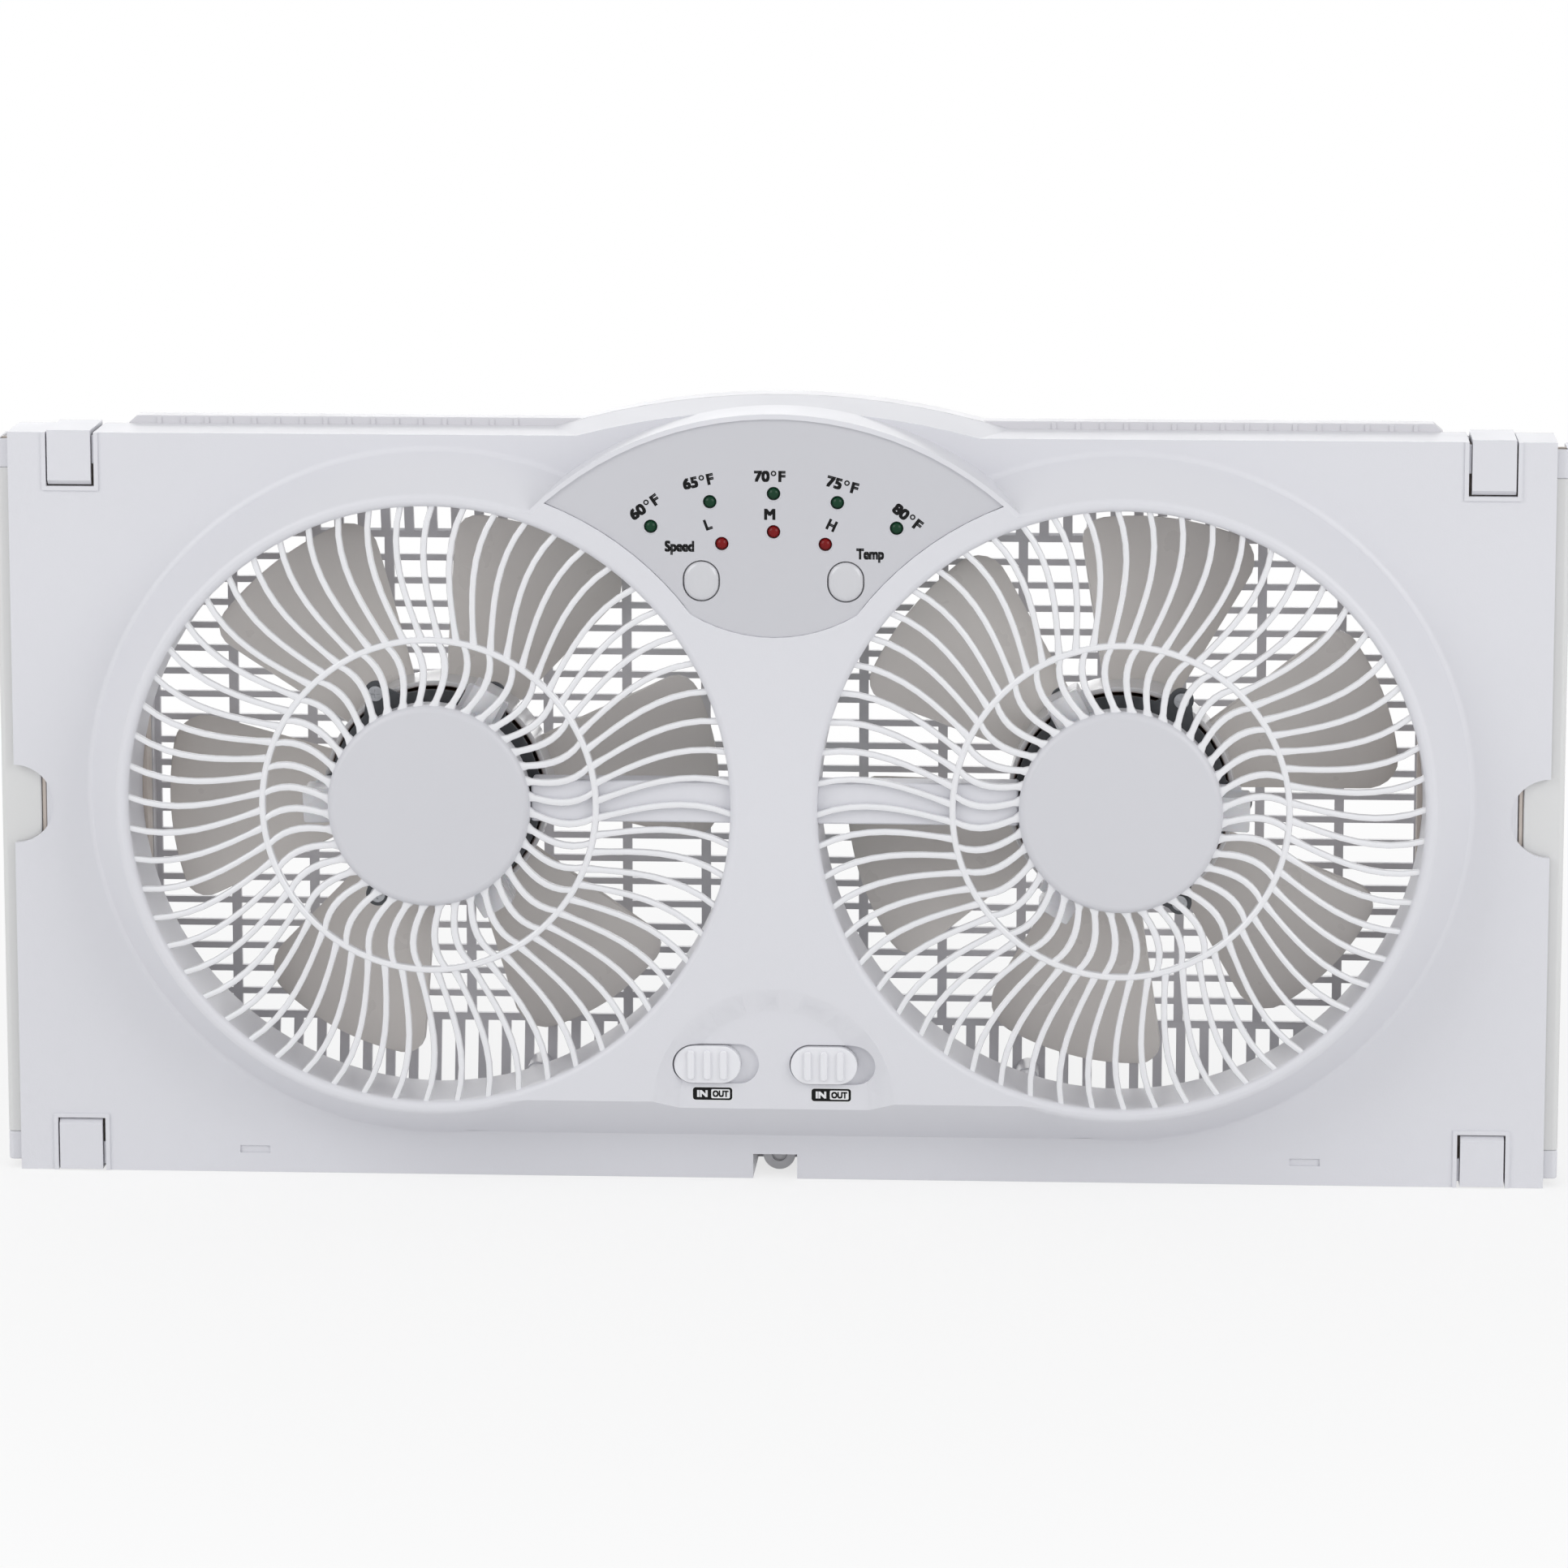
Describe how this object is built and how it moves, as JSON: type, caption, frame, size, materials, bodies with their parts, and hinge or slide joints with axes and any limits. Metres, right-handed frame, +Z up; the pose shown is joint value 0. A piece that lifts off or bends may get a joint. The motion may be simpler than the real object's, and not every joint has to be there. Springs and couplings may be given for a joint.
{
  "type": "window fan",
  "caption": "Twin window fan: two grilled fans in one flat housing, a lens-shaped control panel, airflow slide switches, and telescoping side extenders with corner locks.",
  "frame": {"origin": "centre of the bounding box's bottom face, where the housing rests on the sill", "axes": "+X to the right seen from the room, +Y towards the outdoors, +Z up; the front faces -Y"},
  "size_m": [0.597, 0.08, 0.2999],
  "materials": {
    "shell_white": "fine satin texture",
    "panel_white": "smooth satin",
    "gloss_white": "polished",
    "grille_white": "smooth",
    "rear_white": "fine satin texture",
    "wheel_white": "smooth",
    "lamp_green": "clear lens, unlit",
    "lamp_red": "clear lens, unlit",
    "board_green": "solder mask",
    "black_plastic": "moulded",
    "dark_steel": "dull grey paint",
    "steel": "turned",
    "lamination": "stacked sheet",
    "insulation": "varnished",
    "bronze": "sintered, oiled",
    "slat_plastic": "plain",
    "bar_plastic": "satin",
    "wire_black": "vinyl sleeve"
  },
  "bodies": {
    "housing": {"front_shell": "shell_white", "rear_cover": "rear_white", "front_grille_left": "grille_white", "front_grille_right": "grille_white", "control_panel": "panel_white", "temperature_lamps": "lamp_green", "speed_lamps": "lamp_red", "control_board": "board_green", "button_contacts": "black_plastic", "airflow_switches": "black_plastic", "power_board": "board_green", "room_sensor": "black_plastic", "motor_leads": "wire_black", "cord_gland": "rear_white", "lock_pins": "steel", "case_screws": "steel", "motor_screws": "steel", "motor_carrier_left": "grille_white", "motor_flange_left": "dark_steel", "stator_left": "lamination", "winding_left": "insulation", "motor_bushes_left": "bronze", "motor_back_left": "dark_steel", "wire_channel_left": "grille_white", "motor_carrier_right": "grille_white", "motor_flange_right": "dark_steel", "stator_right": "lamination", "winding_right": "insulation", "motor_bushes_right": "bronze", "motor_back_right": "dark_steel", "wire_channel_right": "grille_white"},
    "left_wheel": {"fan_wheel_left": "wheel_white", "motor_shaft_left": "steel", "rotor_core_left": "lamination", "wheel_nuts_left": "steel"},
    "left_airflow_knob": {"airflow_knob_left": "gloss_white"},
    "left_slat_4": {"slat_4_left": "slat_plastic"},
    "left_slat_3": {"slat_3_left": "slat_plastic"},
    "left_slat_2": {"slat_2_left": "slat_plastic"},
    "left_bar": {"slat_1_left": "slat_plastic", "extender_bar_left": "bar_plastic", "extender_caps_left": "shell_white"},
    "top_left_lock": {"lock_top_left": "shell_white"},
    "bottom_left_lock": {"lock_bottom_left": "shell_white"},
    "right_wheel": {"fan_wheel_right": "wheel_white", "motor_shaft_right": "steel", "rotor_core_right": "lamination", "wheel_nuts_right": "steel"},
    "right_airflow_knob": {"airflow_knob_right": "gloss_white"},
    "right_slat_4": {"slat_4_right": "slat_plastic"},
    "right_slat_3": {"slat_3_right": "slat_plastic"},
    "right_slat_2": {"slat_2_right": "slat_plastic"},
    "right_bar": {"slat_1_right": "slat_plastic", "extender_bar_right": "bar_plastic", "extender_caps_right": "shell_white"},
    "top_right_lock": {"lock_top_right": "shell_white"},
    "bottom_right_lock": {"lock_bottom_right": "shell_white"},
    "speed_button": {"speed_button": "gloss_white"},
    "temp_button": {"temp_button": "gloss_white"}
  },
  "joints": [
    {"name": "left_wheel_spin", "type": "hinge", "parent": "housing", "child": "left_wheel", "pos_m": [-0.1307, 0.015, 0.149], "axis": [0, 1, 0], "continuous": true},
    {"name": "left_airflow_slide", "type": "slide", "parent": "housing", "child": "left_airflow_knob", "axis": [1, 0, 0], "range_m": [0, 0.0064]},
    {"name": "left_extender_stage_1", "type": "slide", "parent": "housing", "child": "left_slat_4", "axis": [-1, 0, 0], "range_m": [0, 0.0429]},
    {"name": "left_extender_stage_2", "type": "slide", "parent": "left_slat_4", "child": "left_slat_3", "axis": [-1, 0, 0], "range_m": [0, 0.0429]},
    {"name": "left_extender_stage_3", "type": "slide", "parent": "left_slat_3", "child": "left_slat_2", "axis": [-1, 0, 0], "range_m": [0, 0.0429]},
    {"name": "left_extender_stage_4", "type": "slide", "parent": "left_slat_2", "child": "left_bar", "axis": [-1, 0, 0], "range_m": [0, 0.0429]},
    {"name": "top_left_lock_fold", "type": "hinge", "parent": "housing", "child": "top_left_lock", "pos_m": [-0.2692, 0.019, 0.2839], "axis": [-1, 0, 0], "range_deg": [0, 95]},
    {"name": "bottom_left_lock_fold", "type": "hinge", "parent": "housing", "child": "bottom_left_lock", "pos_m": [-0.2692, 0.019, 0.0031], "axis": [1, 0, 0], "range_deg": [0, 95]},
    {"name": "right_wheel_spin", "type": "hinge", "parent": "housing", "child": "right_wheel", "pos_m": [0.1307, 0.015, 0.149], "axis": [0, 1, 0], "continuous": true},
    {"name": "right_airflow_slide", "type": "slide", "parent": "housing", "child": "right_airflow_knob", "axis": [1, 0, 0], "range_m": [0, 0.0064]},
    {"name": "right_extender_stage_1", "type": "slide", "parent": "housing", "child": "right_slat_4", "axis": [1, 0, 0], "range_m": [0, 0.0429]},
    {"name": "right_extender_stage_2", "type": "slide", "parent": "right_slat_4", "child": "right_slat_3", "axis": [1, 0, 0], "range_m": [0, 0.0429]},
    {"name": "right_extender_stage_3", "type": "slide", "parent": "right_slat_3", "child": "right_slat_2", "axis": [1, 0, 0], "range_m": [0, 0.0429]},
    {"name": "right_extender_stage_4", "type": "slide", "parent": "right_slat_2", "child": "right_bar", "axis": [1, 0, 0], "range_m": [0, 0.0429]},
    {"name": "top_right_lock_fold", "type": "hinge", "parent": "housing", "child": "top_right_lock", "pos_m": [0.2692, 0.019, 0.2839], "axis": [-1, 0, 0], "range_deg": [0, 95]},
    {"name": "bottom_right_lock_fold", "type": "hinge", "parent": "housing", "child": "bottom_right_lock", "pos_m": [0.2692, 0.019, 0.0031], "axis": [1, 0, 0], "range_deg": [0, 95]},
    {"name": "speed_button_press", "type": "slide", "parent": "housing", "child": "speed_button", "axis": [0, 1, 0], "range_m": [0, 0.0012], "stiffness_N_per_m": 400, "springref_m": -0.001},
    {"name": "temp_button_press", "type": "slide", "parent": "housing", "child": "temp_button", "axis": [0, 1, 0], "range_m": [0, 0.0012], "stiffness_N_per_m": 400, "springref_m": -0.001}
  ],
  "couplings": [
    {"joint": "left_extender_stage_2", "follows": "left_extender_stage_1", "ratio": 1},
    {"joint": "left_extender_stage_3", "follows": "left_extender_stage_1", "ratio": 1},
    {"joint": "left_extender_stage_4", "follows": "left_extender_stage_1", "ratio": 1},
    {"joint": "right_extender_stage_2", "follows": "right_extender_stage_1", "ratio": 1},
    {"joint": "right_extender_stage_3", "follows": "right_extender_stage_1", "ratio": 1},
    {"joint": "right_extender_stage_4", "follows": "right_extender_stage_1", "ratio": 1}
  ]
}
